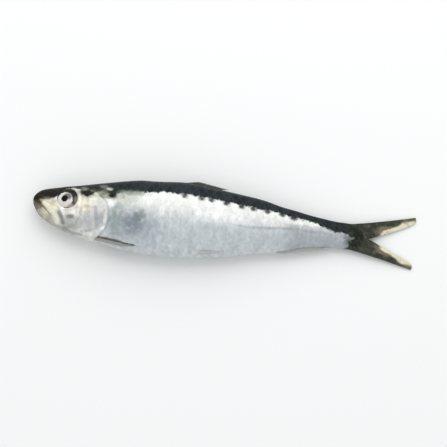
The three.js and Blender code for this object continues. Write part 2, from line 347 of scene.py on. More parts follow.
def mouth_line_distance(at, up):
    """Distance from the visible line of the mouth: the slit, and past it the plate's lower edge."""
    plate = plate_distance(at, up)
    slit = mouth_distance(at, up) + HIDDEN * fade(-0.5, 0.3, plate)
    edge = np.abs(plate) + HIDDEN * ease(0.8, 1.8, over_mouth(at, up)) + HIDDEN * fade(4.5, 6, at)
    return np.minimum(slit, edge) + 0.35 * ease(9, 14, at)


def groove(distance, size):
    """Depth of a groove, at a distance from its middle line, by its greatest depth and its width."""
    return size[0] * hump(distance, size[1])


def grooves(at, up, place):
    """How deep each point lies in a seam or slit of the head, in millimetres."""
    depth = groove(mouth_distance(at, up), MOUTH_SLIT) * ease(-0.6, 0.2, plate_distance(at, up))
    depth += groove(seam_distance(at, up), PLATE_SEAM)
    depth += groove(place - GILL_EDGE - GILL_STEP - 0.35, GILL_SLIT) * low_on_cover(up)
    depth += groove(nostril_distance(at, up), NOSTRIL)
    for fold in THROAT_FOLDS:
        depth += groove(belly_distance(at, up) - fold, THROAT_FOLD) * between(*THROAT, at)
    return depth + groove(eye_distance(at, up) - EYE_SHOWN - 0.1, EYE_SOCKET)


def striae(at, up, place):
    """Low bony rays that fan out over the gill cover."""
    reach = np.hypot(at - STRIAE_FROM[0], up - STRIAE_FROM[1])
    turn = np.degrees(np.arctan2(at - STRIAE_FROM[0], STRIAE_FROM[1] - up))
    shown = between(*STRIAE_REACH, reach) * (place < GILL_EDGE - 0.6)
    shown = shown * between(*STRIAE_FAN, turn)
    return np.cos(2 * math.pi * turn / STRIAE_TURN) * shown


def slack_waves():
    """Long, shallow waves of slack flesh: turns along and up, shift, and size in millimetres."""
    dice = np.random.default_rng(7)
    waves = []
    for length in SLACK_LENGTHS:
        angle = dice.uniform(-0.9, 0.9)
        turn = 2 * math.pi / length
        shift = dice.uniform(0, 2 * math.pi)
        waves.append((turn * math.cos(angle), turn * math.sin(angle), shift, length * SLACK_HEIGHT))
    return waves


SLACK_WAVES = slack_waves()


def relief(at, up, place):
    """Height of the skin's detail over the plain body, in millimetres."""
    height = STRIAE_HEIGHT * striae(at, up, place) - grooves(at, up, place)
    height += PLATE_HEIGHT * fade(-1.2, 0.3, plate_distance(at, up))
    # The lower jaw closes a little inside the upper one.
    inside = between(*LOWER_JAW, over_mouth(at, up)) * fade(10, 14, at)
    height -= JAW_INSET * inside
    # A fatty lid rings the eye, and the cheek is a little hollow.
    height += LID_HEIGHT * hump(eye_distance(at, up) - EYE_SHOWN - 1.2, 0.8)
    height -= CHEEK_DEPTH * patch(at, up, *CHEEK_HOLLOW)
    for turns_along, turns_up, shift, size in SLACK_WAVES:
        wave = np.sin(at * turns_along + up * turns_up + shift)
        height += size * wave * ease(*SLACK_FROM, at)
    return height


# ---- Pigment of the skin, with painted highlights and shade ----

# Patches: middle, half sizes, colour, and the share of that colour in the middle.
PATCHES = {
    "cheek_grey": ((21.0, -11.2), (6.8, 4.0), "#b8b9b4", 0.85),
    "cover_lilac": ((29.6, -8.8), (4.4, 6.0), "#cacacc", 0.85),
    "cover_rear": ((35.6, -8.4), (2.2, 4.2), "#acadb0", 0.8),
    "throat": ((27, -15.8), (7.5, 2.4), "#dcddd8", 0.8),
    # Next: painted light that lifts the shade where the throat turns under.
    "throat_rear_light": ((30.2, -15.2), (2.6, 1.3), "#f6f7f2", 0.8),
    "jaw": ((8.4, -8.9), (4.6, 3.5), "#a9a592", 0.9),
    "front_cream": ((9.2, -4.4), (5.2, 4.4), "#e7e1c4", 0.95),
    "snout_gold": ((2.4, -3.4), (5.0, 4.4), "#6f6441", 0.95),
    "snout_dark": ((1.3, -0.2), (3.0, 2.9), "#1a160b", 1.0),
    "behind_eye": ((27.6, -1.4), (5.2, 4.4), "#f8f2de", 0.9),
    "beside_eye": ((24.6, 0.6), (3.4, 4.4), "#fdf8e6", 0.9),
    "cheek_white": ((19.4, -5.7), (6.8, 2.6), "#fdfcf5", 0.95),
    "under_eye": ((18.4, -4.6), (2.4, 0.9), "#cdcabf", 0.6),
    "pink": ((28.2, -2.6), (1.6, 1.3), "#dcc6b4", 0.6),
    # Next: painted shade on the cheek below the eye.
    "cheek_shade": ((20.3, -7.9), (2.8, 1.2), "#75776f", 0.85),
    # Next: a painted highlight on the lower part of the gill cover.
    "cover_highlight": ((37.2, -11.9), (1.9, 1.5), "#ffffff", 0.95),
    # Next: painted shade of the shoulder behind the gill cover.
    "shoulder": ((47.5, 2), (7, 4.5), "#c3c5bd", 0.75),
    "mottle_front": ((26.9, 4.7), (4.0, 3.0), "#1f210c", 1.0),
    "mottle_top": ((32.6, 6.9), (2.6, 1.3), "#2b3023", 0.95),
    "mottle_rear": ((40.2, 4.4), (2.5, 2.2), "#10140a", 1.0),
    "nape_gap": ((30.0, 6.1), (1.6, 1.1), "#6f7259", 0.8),
    # Next: a painted sheen of wet skin, pale olive.
    "nape_front_sheen": ((25.4, 7.0), (2.4, 1.4), "#7f8878", 0.85),
    "nape_middle": ((32.5, 4.1), (1.8, 1.7), "#c0c4af", 0.9),
    "nape_low": ((35.1, 3.4), (1.7, 1.3), "#969a85", 0.7),
    "nape_rear": ((36.0, 5.7), (2.8, 1.9), "#676c58", 0.85),
    # Next two: a painted sheen and a painted glint of wet skin on the nape's crest.
    "nape_crest_sheen": ((35.0, 8.8), (2.6, 1.3), "#70766b", 0.8),
    "nape_glint": ((38.2, 7.9), (1.5, 1.0), "#d3d8ce", 1.0),
    "nape_back": ((50, 6.9), (7.0, 1.6), "#7d867d", 0.8),
    "blush": ((35.6, -17.0), (2.8, 0.9), "#8f7570", 0.55),
    # Next: a painted highlight along the middle of the flank, and painted shade on its lower part
    # further forward.
    "flank_highlight": ((94, -0.5), (17, 4.0), "#ffffff", 0.5),
    "flank_shade": ((59, -11), (8.5, 7.5), "#a9b1b8", 0.6),
    # Next: grey-blue behind the gill cover, partly painted shade of the cover's step.
    "behind_gill_tint_and_shade": ((47, -9), (9.5, 9.5), "#a9b4b8", 0.75),
    "behind_rim": ((39.9, 0.2), (1.7, 2.2), "#ffffff", 0.85),
    # Next: teal-grey, partly painted shade of the gill cover's step.
    "teal_tint_and_shade": ((43.4, -8.0), (3.2, 7.5), "#95a3a0", 0.7),
    "blue_low": ((52.2, -8.6), (5.4, 5.0), "#7f8894", 0.7),
    "blue_high": ((55.5, -4.0), (3.8, 3.0), "#818a8b", 0.65),
}
# Strokes: points, half width, colour, and share.
STROKES = {
    "snout_stripe": ([(1.6, -0.9), (3.8, -2.2)], 0.7, "#4c452f", 0.7),
    "cream_streak": ([(6.4, -1.9), (9.3, -4.2), (11.5, -7.6), (13.4, -10.4)], 1.3, "#f7f2da", 0.85),
    # Next: a painted shadow behind the rear end of the upper jaw's plate.
    "maxilla_end_shadow": ([(14.4, -6.2), (15.8, -8.4), (16.9, -11.0)], 1.1, "#827e78", 0.85),
    "cover_line": ([(32.6, -2.6), (33.4, -7), (33.7, -11.2)], 1.0, "#a0a0a3", 0.6),
    "cover_rim": ([(38.6, 1.0), (38.9, -2.5), (38.1, -6), (37.9, -9)], 0.9, "#eff0ea", 0.8),
    # Next: a painted shadow on the flank along the pectoral fin's upper edge.
    "fin_shadow": ([(35, -16.1), (50, -17.85)], 0.5, "#6a655c", 0.8),
    "throat_line": ([(17.5, -13.6), (21.8, -15.3), (26.5, -16.0)], 0.7, "#9a9a98", 0.65),
}
ON_HEAD = (
    "cover_lilac", "cover_rear", "cover_highlight", "cover_rim", "throat", "throat_rear_light", "throat_line",
)
BEHIND_GILL = ("behind_gill_tint_and_shade", "behind_rim", "teal_tint_and_shade", "fin_shadow")
DARK_PATCHES = ("snout_dark", "mottle_front", "mottle_top", "mottle_rear")
SKIN_FIELDS = (
    "over_back_edge", "scaled", "mouth_mm", "seam_mm", "nostril_mm", "groove", "head", "nape",
    "low_flank", "stalk", "belly_edge", "jaw_edge", "tail_root", "lateral_line", "back_spots",
)


# ---- Meshes ----


def ring_faces(first, second, count):
    """Squares between two closed rings of points."""
    i = np.arange(count)
    step = (i + 1) % count
    return np.stack([first + i, first + step, second + step, second + i], axis=1)


def cap_faces(centre, first, count, facing_start):
    """Triangles that close a ring of points to a centre point."""
    i = np.arange(count)
    step = (i + 1) % count
    order = (step, i) if facing_start else (i, step)
    return np.stack([np.full(count, centre), first + order[0], first + order[1]], axis=1)


def closed_faces(rings, count):
    """Faces of a stack of closed rings, whose ends close to the two points that follow the rings."""
    faces = [ring_faces(ring * count, (ring + 1) * count, count) for ring in range(rings - 1)]
    faces.append(cap_faces(rings * count, 0, count, True))
    faces.append(cap_faces(rings * count + 1, (rings - 1) * count, count, False))
    return faces


def sheet_faces(first, rows, columns, flip):
    """Squares of an open grid of points."""
    i, j = np.meshgrid(np.arange(rows - 1), np.arange(columns - 1), indexing="ij")
    corner = (first + i * columns + j).ravel()
    order = [corner, corner + 1, corner + columns + 1, corner + columns]
    return np.stack(order[::-1] if flip else order, axis=1)


def new_piece(name, points, face_groups, fields, material):
    """A smooth piece that stands for the fish. fields hold a number or a vector for each point."""
    mesh = bpy.data.meshes.new(name)
    mesh.from_pydata(points.tolist(), [], [face for group in face_groups for face in group.tolist()])
    mesh.validate()
    mesh.update()
    for field, values in fields.items():
        kind, member = ("FLOAT_VECTOR", "vector") if values.ndim == 2 else ("FLOAT", "value")
        layer = mesh.attributes.new(field, kind, "POINT")
        layer.data.foreach_set(member, values.astype(np.float32).ravel())
    mesh.polygons.foreach_set("use_smooth", np.ones(len(mesh.polygons), bool))
    mesh.materials.append(material)
    piece = bpy.data.objects.new(name, mesh)
    bpy.context.scene.collection.objects.link(piece)
    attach(piece, BODY)
    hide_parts(NODE)
    return piece


def outward_normals(at, up, out):
    """Unit normals of a grid of rings, as three arrays."""
    grid = np.stack([at, up, out], axis=-1)
    along = np.gradient(grid, axis=0)
    around = np.roll(grid, -1, axis=1) - np.roll(grid, 1, axis=1)
    normal = np.cross(around, along)
    normal = normal / np.maximum(np.linalg.norm(normal, axis=-1, keepdims=True), 1e-9)
    return normal[..., 0], normal[..., 1], normal[..., 2]


def skin_grid():
    """Rings of skin: the place of each ring, and its points' at, up and out, relief included."""
    end = BODY_LENGTH + SHEATH_LENGTH
    head = GILL_EDGE * (np.arange(1, HEAD_RINGS + 1) / HEAD_RINGS) ** HEAD_CROWDING
    edge = GILL_EDGE + EDGE_WIDTH * (np.arange(1, EDGE_RINGS + 1) / EDGE_RINGS) ** EDGE_CROWDING
    trunk = np.linspace(GILL_EDGE + EDGE_WIDTH, end, TRUNK_RINGS + 1)[1:]
    turns = 2 * math.pi * np.arange(TURNS) / TURNS
    place, turn = np.meshgrid(np.concatenate([head, edge, trunk]), turns, indexing="ij")
    across, outward = np.cos(turn), np.sin(turn)
    bend = between((BEND_FROM, GILL_EDGE), (GILL_EDGE, BEND_TO), place)
    at = place - bend * GILL_BOW * (across * rim_at(place, across) - GILL_UP) ** 2
    up = across * rim_at(at, across)
    cover = GILL_RAISED * ease(GILL_FROM, GILL_FULL, place) * low_on_cover(up)
    cover = cover * fade(GILL_EDGE, GILL_EDGE + GILL_STEP, place)
    out = np.sign(outward) * (flank_at(at, up) + cover * np.abs(outward))
    normal_at, normal_up, normal_out = outward_normals(at, up, out)
    height = relief(at, up, place) * ease(0.3, 2.5, at)
    keel = hump(turn - math.pi, KEEL_WIDTH) * between(*KEEL, at)
    height += SCUTE_HEIGHT * keel * (at / SCUTE_PITCH % 1)
    return place, at + normal_at * height, up + normal_up * height, out + normal_out * height


def scale_lattice(place, at, up, out, pitch):
    """Coordinates in which a scale is one unit long, and a row of scales half a unit high."""
    step = np.hypot(np.roll(up, -1, axis=1) - up, np.roll(out, -1, axis=1) - out)
    girth = step.sum(axis=1, keepdims=True)
    around = np.cumsum(step, axis=1) - step
    from_back = np.minimum(around, girth - around) / (girth / 2)
    local_pitch = pitch * mix(SMALLEST_SCALE, 1, girth / girth.max())
    advance = np.diff(place[:, :1], axis=0, prepend=0) / local_pitch
    lengthwise = np.cumsum(advance, axis=0) + (at - place) / local_pitch
    crosswise = from_back * SCALE_ROWS / 2
    return np.stack([lengthwise, crosswise, np.zeros_like(out)], axis=-1)


def back_spots(at, over_edge):
    """A row of short dark dashes just under the edge of the dark back."""
    dice = np.random.default_rng(3)
    spots = np.zeros_like(at)
    for middle in np.arange(*SPOTS):
        place = middle + dice.uniform(-SPOT_STRAY[0], SPOT_STRAY[0])
        low = -0.2 + dice.uniform(-SPOT_STRAY[1], SPOT_STRAY[1])
        spots = np.maximum(spots, patch(at, over_edge, (place, low), SPOT_RADII))
    return spots


def skin_fields(place, at, up, out, scale_pitch):
    """What the skin's material needs to know of each point."""
    behind = place - GILL_EDGE
    trunk = ease(0.2, 2.5, behind)
    over_edge = up - back_edge_at(at)
    fields = {name: patch(at, up, middle, radii) for name, (middle, radii, *_) in PATCHES.items()}
    for name, (points, width, *_) in STROKES.items():
        fields[name] = hump(chain_distance(at, up, points), width)
    for names, shown in ((ON_HEAD, fade(0.1, 0.5, behind)), (BEHIND_GILL, ease(0.1, 0.6, behind))):
        for name in names:
            fields[name] *= shown
    fields["fin_shadow"] *= fade(44, 51, at)
    fields |= {
        "over_back_edge": over_edge,
        "scaled": np.maximum(trunk, ease(24, 29, at) * ease(7.2, 9.2, up)) * fade(158, 166, at),
        "mouth_mm": mouth_line_distance(at, up),
        "seam_mm": seam_distance(at, up),
        "nostril_mm": nostril_distance(at, up),
        "groove": grooves(at, up, place),
        "head": fade(26, 46, at),
        "nape": between((24, 27), (42, 58), at) * ease(1.6, 4.0, up),
        "low_flank": fade(mix(-7.5, -3.0, ease(80, 112, at)), 1.0, up),
        "stalk": ease(116, 140, at) * fade(1.0, 3.5, up),
        "belly_edge": fade(0.6, 3.4, belly_distance(at, up)) * ease(30, 45, at),
        "jaw_edge": fade(0.3, 2.2, belly_distance(at, up)) * fade(20, 32, at),
        "tail_root": ease(154.5, 164, at),
        "lateral_line": hump(up - mix(-3.1, -0.6, ease(108, 135, at)), 0.8) * ease(96, 108, at),
        "back_spots": back_spots(at, over_edge),
    }
    fields = {name: values.ravel() for name, values in fields.items()}
    fields["scale_lattice"] = scale_lattice(place, at, up, out, scale_pitch).reshape(-1, 3)
    return fields


def build_skin(form, material):
    """The body from the snout to the root of the tail fin, closed at both ends."""
    place, at, up, out = skin_grid()
    fields = skin_fields(place, at, up, out, form.scale_pitch)
    middle = np.zeros(1)
    points = np.concatenate([
        lay_down(at, up, out).reshape(-1, 3),
        lay_down(middle, middle, middle),
        lay_down(middle + BODY_LENGTH + SHEATH_LENGTH, middle, middle),
    ])
    for name, values in fields.items():
        fields[name] = np.concatenate([values, values[:1], values[-1:]])
    faces = closed_faces(len(place), TURNS)
    return new_piece("body_skin", points, faces, fields, material)


def build_eye(name, side, material):
    """A shallow dome that follows the head's side and runs on under the skin, closed behind."""
    reach = EYE_RADIUS * np.arange(1, EYE_RINGS + 1) / EYE_RINGS
    reach, spoke = np.meshgrid(reach, 2 * math.pi * np.arange(EYE_SPOKES) / EYE_SPOKES, indexing="ij")
    reach = np.append(reach.ravel(), (0, 0))
    spoke = np.append(spoke.ravel(), (0, 0))
    to_tail, to_back = reach * np.sin(spoke), reach * np.cos(spoke)
    dome = EYE_PROUD * (1 - (reach / EYE_SHOWN) ** EYE_FULLNESS)
    dome[-1] = -EYE_DEPTH
    at, up = EYE_AT + to_tail, EYE_UP + to_back
    out = side * (flank_at(at, up) + dome)
    faces = closed_faces(EYE_RINGS, EYE_SPOKES)
    if side < 0:
        faces = [group[:, ::-1] for group in faces]
    pupil_tail, pupil_back = PUPIL_FROM_EYE
    from_pupil = np.stack([to_tail - pupil_tail, to_back - pupil_back, 0 * reach], axis=-1)
    return new_piece(name, lay_down(at, up, out), faces, {"from_pupil": from_pupil}, material)


def build_fin(name, ray, level, shape, material):
    """A thin ribbed fin between its root and its margin.

    ray(across) gives the roots and tips of the rays, clockwise seen from the left flank, and
    level(at, up, along) how far the fin's middle lies from the fish's middle plane.
    """
    dice = np.random.default_rng(shape["seed"])
    rays, flare = shape["rays"], shape["flare"]
    across = np.linspace(0, 1, rays * RAY_POINTS + 1)
    along = np.linspace(0, 1, shape["steps"] + 1)[None, :]
    root, tip = ray(across)
    length = np.linalg.norm(tip - root, axis=1)
    nicks = rays * 2 + 1
    torn = shape["fray"] * np.interp(across, np.linspace(0, 1, nicks), dice.random(nicks))
    tip = root + (tip - root) * (1 - torn / length)[:, None]
    at = mix(root[:, :1], tip[:, :1], along)
    up = mix(root[:, 1:], tip[:, 1:], along**flare)
    single = np.cos(2 * math.pi * rays * across)[:, None]
    forked = np.cos(4 * math.pi * rays * across)[:, None]
    rib = shape["rib"] * mix(single, forked, ease(*RAY_FORK, along)) * ease(*RAY_RISE, along)
    half = mix(*shape["halves"], along) + rib * (1 - 0.5 * along)
    middle = np.maximum(lift_at(at) + level(at, up, along), half) - lift_at(at)
    sides = [lay_down(at, up, middle + side * half).reshape(-1, 3) for side in (1, -1)]
    rows, columns = at.shape
    sheet = rows * columns
    i, j = np.arange(rows - 1), np.arange(columns - 1)
    rim = np.concatenate([
        i * columns, (rows - 1) * columns + j, (i[::-1] + 1) * columns + columns - 1, j[::-1] + 1
    ])
    beyond = np.roll(rim, -1)
    faces = [
        sheet_faces(0, rows, columns, True),
        sheet_faces(sheet, rows, columns, False),
        np.stack([rim, sheet + rim, sheet + beyond, beyond], axis=1),
    ]
    across = np.broadcast_to(across[:, None], at.shape)
    margin = (1 - along) * length[:, None]
    fields = {
        "ray_count": across * rays,
        "fin_dark": shape["dark"](at, across, margin),
        "fin_pale": shape["pale"](at, across, margin),
    }
    fields = {field: np.tile(values.ravel(), 2) for field, values in fields.items()}
    return new_piece(name, np.concatenate(sides), faces, fields, material)


def tail_ray(across):
    """Rays of the tail fin, from the edge of the upper lobe to that of the lower one."""
    lobe = 1 - 2 * across
    steps = np.linspace(0, 1, len(TAIL_MARGIN))
    tip_at = curve_through([(step, at) for step, (at, up) in zip(steps, TAIL_MARGIN)])
    tip_up = curve_through([(step, up) for step, (at, up) in zip(steps, TAIL_MARGIN)])
    stretch = np.where(lobe > 0, TAIL_STRETCH[0], -TAIL_STRETCH[1])
    root = np.stack([np.full_like(lobe, TAIL_ROOT), TAIL_SPREAD * lobe], axis=-1)
    return root, np.stack([tip_at(np.abs(lobe)), tip_up(np.abs(lobe)) * stretch], axis=-1)


def tail_dark(at, across, margin):
    """A dark root, and along the outer edge of each lobe a dark band that thins out to its tip."""
    band = ease(0.45, 0.85, np.abs(1 - 2 * across)) * mix(0.95, 0.5, ease(181, 189, at))
    return np.maximum(fade(170, 178.5, at), band)


def tail_pale(at, across, margin):
    """A pale margin on the side of the fork."""
    return fade(5.5, 9.5, margin) * ease(174, 178, at) * fade(0.7, 1.0, np.abs(1 - 2 * across))


def ridge_ray(fin, side):
    """Rays of a low fin folded along the back (side 1) or the underside (side -1)."""

    def ray(across):
        share = across if side > 0 else 1 - across
        root_at = mix(*fin["root"], share)
        tip_at = root_at + mix(*fin["sweeps"], share)
        way = np.full_like(share, side)
        root_up = side * (rim_at(root_at, way) - RIDGE_ROOT_DEPTH)
        tip_up = side * (rim_at(tip_at, way) + mix(*fin["heights"], share))
        return np.stack([root_at, root_up], axis=-1), np.stack([tip_at, tip_up], axis=-1)

    return ray


def paired_ray(corners):
    """Rays of a fin that lies against a flank."""
    root, root_end, tip, tip_end = (np.array(corner, float) for corner in corners)

    def ray(across):
        margin = mix(tip, tip_end, across[:, None])
        margin[:, 0] += PAIRED_CROWN * np.sin(math.pi * across)
        return mix(root, root_end, across[:, None]), margin

    return ray


def paired_level(side):
    """Middle of a fin that lies against the left flank (side 1) or the right one (side -1)."""

    def level(at, up, along):
        return side * (flank_at(at, up) + mix(*PAIRED_STAND, ease(0, PAIRED_RISE, along)))

    return level


def on_middle_plane(at, up, along):
    """Middle of a fin that stands in the fish's middle plane."""
    return np.zeros_like(at)


# ---- Materials ----

FLECK = "#44473a"  # grey-olive flecks on the dark tail and its root
RGBA = {"data_type": "RGBA"}  # a mix of colours
SMOOTH = {"interpolation_type": "SMOOTHSTEP"}  # a range whose ends are eased
WATER_IOR, CORNEA_IOR = 1.33, 1.38


def linear(hex_colour):
    """An sRGB hex colour as linear red, green, blue and alpha."""
    channels = [int(hex_colour[i : i + 2], 16) / 255 for i in (1, 3, 5)]
    return tuple(c / 12.92 if c <= 0.04045 else ((c + 0.055) / 1.055) ** 2.4 for c in channels) + (1.0,)


def add_node(tree, kind, *inputs, by_name=None, **settings):
    """Adds a node with its settings, and its inputs in the order in which the node shows them.

    An input is a value, a hex colour, or the node or socket that feeds it. by_name gives the
    inputs of a node that has many.
    """
    made = tree.nodes.new("ShaderNode" + kind)
    for name, value in settings.items():
        setattr(made, name, value)
    shown = [socket for socket in made.inputs if socket.enabled]
    fed = list(zip(shown, inputs))
    fed += [(made.inputs[name], source) for name, source in (by_name or {}).items()]
    for target, source in fed:
        if isinstance(source, bpy.types.Node):
            source = next(socket for socket in source.outputs if socket.enabled)
        if isinstance(source, bpy.types.NodeSocket):
            tree.links.new(source, target)
        else:
            target.default_value = linear(source) if isinstance(source, str) else source
    return made


def new_material(name):
    """An empty material, and the function that adds nodes to it."""
    material = bpy.data.materials.new(name)
    material.use_nodes = True
    material.node_tree.nodes.clear()
    return material, functools.partial(add_node, material.node_tree)


def tinted(node, colour, mask, ragged, tint, share):
    """The colour with a tint laid over it where the frayed mask is, and the amount of that tint."""
    frayed = node("Math", ragged, mask, operation="MULTIPLY")
    amount = node("MapRange", frayed, 0.1, 0.9, 0, share, **SMOOTH)
    return node("Mix", amount, colour, tint, **RGBA), amount


def skin_material(form, colours):
    """Wet fish skin over guanine crystals.

    The crystals under the thin scales mirror like brushed silver on the flanks and cheeks. On the
    back, dark pigment covers them, so it reflects less. A film of water lies over all of it.
    """
    material, node = new_material("guanine_silver_skin")
    place = node("TexCoord").outputs["Object"]
    named = {
        name: node("Attribute", attribute_name=name).outputs["Fac"]
        for name in (*PATCHES, *STROKES, *SKIN_FIELDS)
    }

    # Noise by the size of its blotches in millimetres, and upright streaks 1.6 mm by 9 mm.
    blotch, mottle, fray, grain = (
        node("TexNoise", place, 1 / (size * MM), detail)
        for size, detail in ((5, 3.0), (2.6, 2.0), (1.8, 4.0), (0.6, 2.0))
    )
    stretched = node(
        "VectorMath", place, (1 / (1.6 * MM), 1 / (9 * MM), 1 / (9 * MM)), operation="MULTIPLY"
    )
    streak = node("TexNoise", stretched, 1.0, 3.0)

    # Overlapping rows of scales, each row half a scale behind the next. Of two scales at a point,
    # the one whose free edge is nearer lies on top.
    lattice = node("Attribute", attribute_name="scale_lattice").outputs["Vector"]
    lattice = node("SeparateXYZ", lattice)
    edge_bulge = 1.5
    ages, marks = [], []
    for shift in (0.0, 0.5):
        across = node("Math", lattice.outputs["Y"], shift, operation="ADD")
        within = node("Math", across, operation="FRACT")
        offset = node("Math", within, 0.5, operation="SUBTRACT")
        square = node("Math", offset, offset, operation="MULTIPLY")
        start = node("Math", lattice.outputs["X"], shift, operation="ADD")
        lengthwise = node("Math", square, edge_bulge, start, operation="MULTIPLY_ADD")
        ages.append(node("Math", lengthwise, operation="FRACT"))
        column = node("Math", lengthwise, operation="FLOOR")
        row = node("Math", across, operation="FLOOR")
        marks.append(node("CombineXYZ", column, row, shift))
    on_top = node("Math", ages[1], ages[0], operation="GREATER_THAN")
    age = node("Math", ages[0], ages[1], operation="MAXIMUM")
    mark = node("Mix", on_top, marks[0], marks[1], data_type="VECTOR")
    chance = node("TexWhiteNoise", mark).outputs["Value"]  # a random number for each scale
    scale_step = node("Math", age, named["scaled"], operation="MULTIPLY")
    scale_rim = node("MapRange", scale_step, 0.8, 1.0, **SMOOTH)

    # Silver, bright above and bluish below (partly a painted reflection), with a pearly hue that
    # wanders.
    silver = node("Mix", named["low_flank"], colours.upper_flank, colours.lower_flank, **RGBA)
    pearl = node("Mix", blotch, "#e2ebe6", "#ebe7ec", **RGBA)
    colour = node("Mix", 0.7, silver, pearl, **RGBA, blend_type="MULTIPLY")

    # The head's bones under the skin are creamy.
    creamy = node("Math", named["head"], 0.7, operation="MULTIPLY")
    colour = node("Mix", creamy, colour, colours.head, **RGBA)

    # Pigment in patches, whose edges fray.
    ragged = node("MapRange", mottle, 0.3, 0.7, 0.6, 1.4)
    for name, tint, share in (
        ("belly_edge", colours.belly_edge, 0.55),
        ("jaw_edge", "#8c897c", 0.6),
        ("stalk", "#a9adb2", 0.7),
        ("lateral_line", "#9aa2a4", 0.5),
        ("nape", "#b4b7a3", 0.85),
        ("back_spots", colours.back, 0.95),
    ):
        colour, _ = tinted(node, colour, named[name], ragged, tint, share)
    # Olive mottles gather on the nape.
    mottled = node("MapRange", fray, 0.44, 0.66, 0, named["nape"], **SMOOTH)
    colour = node("Mix", mottled, colour, colours.mottle, **RGBA)

    # The dark back ends in the outline of its scales, roughened by the blotches. It is blue-black
    # on the trunk and olive on the head.
    toothed = node("Math", scale_step, -0.9, named["over_back_edge"], operation="MULTIPLY_ADD")
    rougher = node("Math", mottle, 0.5, operation="SUBTRACT")
    rougher = node("Math", rougher, named["head"], operation="MULTIPLY")
    for noise in (blotch, fray, rougher):
        toothed = node("Math", noise, 2.0, toothed, operation="MULTIPLY_ADD")
    dark_back = node("MapRange", toothed, 1.1, 2.2, **SMOOTH)
    back = node("Mix", chance, colours.back, "#222b2f", **RGBA)
    forehead = node("Mix", blotch, "#0c0b08", "#25231a", **RGBA)
    back = node("Mix", named["head"], back, forehead, **RGBA)
    colour = node("Mix", dark_back, colour, back, **RGBA)
    pigment = dark_back
    # Patches and strokes: pigment, painted highlights and painted shade.
    for name, entry in (PATCHES | STROKES).items():
        colour, amount = tinted(node, colour, named[name], ragged, *entry[-2:])
        if name in DARK_PATCHES:
            pigment = node("Math", pigment, amount, operation="MAXIMUM")

    # Lighter and darker streaks and specks, and a tone of its own for every scale.
    tone = node("Math", chance, 0.3, 0.2, operation="MULTIPLY_ADD")
    for noise, share in ((streak, 0.6), (fray, 0.9), (rougher, 1.2)):
        tone = node("Math", noise, share, tone, operation="MULTIPLY_ADD")
    tone = node("MapRange", tone, 0.8, 1.4, 0.76, 1.04)
    colour = node("Mix", 1.0, colour, tone, **RGBA, blend_type="MULTIPLY")
    tail_root = node("Math", ragged, named["tail_root"], operation="MULTIPLY")
    tail_root = node("MapRange", tail_root, 0.1, 0.7)
    root_skin = node("MapRange", mottle, 0.45, 0.75, 0, 0.8)
    root_skin = node("Mix", root_skin, colours.fin_dark, FLECK, **RGBA)
    colour = node("Mix", tail_root, colour, root_skin, **RGBA)

    # Lines: the distance at which each begins and ends to fade, its share and colour.
    lines = {
        "mouth_mm": (0.05, 0.45, 0.7, "#574c3b"),
        "seam_mm": (0.0, 0.9, 0.18, "#7d7b74"),
        "nostril_mm": (0.2, 0.7, 0.7, "#2c271c"),
    }
    for name, (near, far, share, tint) in lines.items():
        amount = node("MapRange", named[name], near, far, share, 0.0, **SMOOTH)
        colour = node("Mix", amount, colour, tint, **RGBA)
    # Painted shade in the grooves and slits of the head, the deeper the darker.
    shade = node("MapRange", named["groove"], 0, 0.6, 0, 0.45)
    colour = node("Mix", shade, colour, "#3a342c", **RGBA)
    rim_shade = node("Math", scale_rim, 0.09, operation="MULTIPLY")
    colour = node("Mix", rim_shade, colour, "#70777d", **RGBA)

    # Pigment, and on the head bone, cover the mirror of the crystals.
    pigment = node("Math", pigment, tail_root, operation="MAXIMUM")
    bony = node("Math", named["head"], 0.6, operation="MULTIPLY")
    covered = node("Math", pigment, bony, operation="MAXIMUM")
    mirror = node("MapRange", covered, 0, 1, 0.55, 0.1)
    film = node("MapRange", covered, 0, 1, form.wetness, form.wetness / 10)
    gloss = node("MapRange", pigment, 0, 1, 0.5, 0.12)
    roughness = node("MapRange", streak, 0.3, 0.7, 0.35, 0.55)

    # Relief in millimetres: scales that stand up more or less, streaks, and the skin's grain.
    lifted = node("MapRange", chance, 0, 1, 0.6, 1.4)
    lifted = node("Math", lifted, form.scale_relief, operation="MULTIPLY")
    relief_mm = node("Math", scale_step, lifted, operation="MULTIPLY")
    for noise, height in ((streak, 0.08), (grain, 0.025)):
        relief_mm = node("Math", noise, height, relief_mm, operation="MULTIPLY_ADD")
    bump = node("Bump", by_name={"Height": relief_mm, "Strength": 1.0, "Distance": MM})

    shader = node("BsdfPrincipled", by_name={
        "Base Color": colour,
        "Metallic": mirror,
        "Roughness": roughness,
        "Normal": bump,
        "Specular IOR Level": gloss,
        "Coat Weight": film,
        "Coat Roughness": 0.15,
        "Coat IOR": WATER_IOR,
    })
    node("OutputMaterial", shader)
    return material


